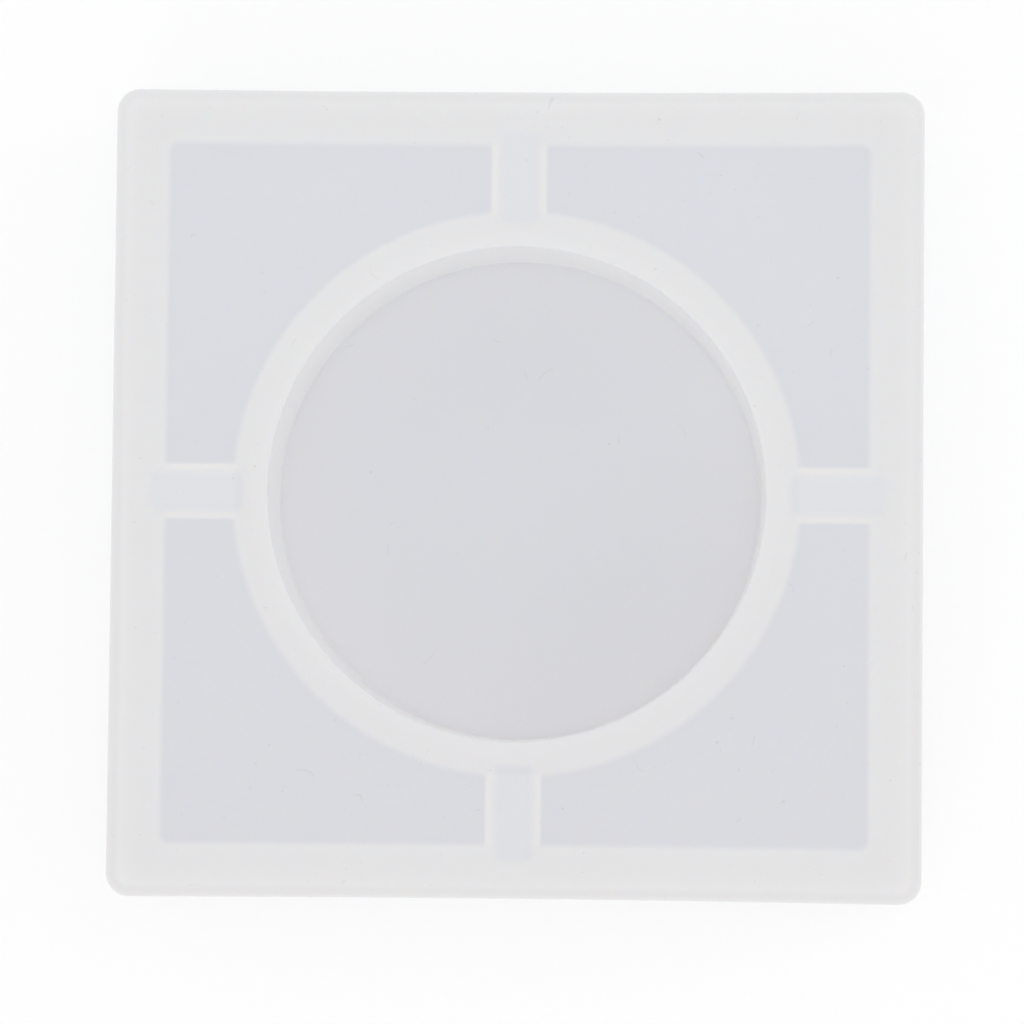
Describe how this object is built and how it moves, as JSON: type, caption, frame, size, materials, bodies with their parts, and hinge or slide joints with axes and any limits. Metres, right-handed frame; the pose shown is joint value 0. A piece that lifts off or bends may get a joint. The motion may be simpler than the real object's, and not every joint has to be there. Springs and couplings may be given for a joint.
{
  "type": "resin casting mould",
  "caption": "Milky silicone mould for casting a square ashtray with a round bowl and cigarette rests, lying on its rim with its flat back face and round recess upward.",
  "frame": {"origin": "centre of the rim plane, on the surface that the mould lies on", "axes": "+Z out of the flat back face, +X and +Y along two sides of the square"},
  "size_m": [0.12, 0.12, 0.028],
  "materials": {
    "milky_silicone": "satin, milky and translucent"
  },
  "bodies": {
    "root": {"wall_front": "milky_silicone", "wall_right": "milky_silicone", "wall_back": "milky_silicone", "wall_left": "milky_silicone", "floor_front_right": "milky_silicone", "floor_back_right": "milky_silicone", "floor_back_left": "milky_silicone", "floor_front_left": "milky_silicone", "bowl_core_wall": "milky_silicone", "bowl_core_face": "milky_silicone", "rest_ridge_front": "milky_silicone", "rest_ridge_right": "milky_silicone", "rest_ridge_back": "milky_silicone", "rest_ridge_left": "milky_silicone"}
  },
  "joints": []
}
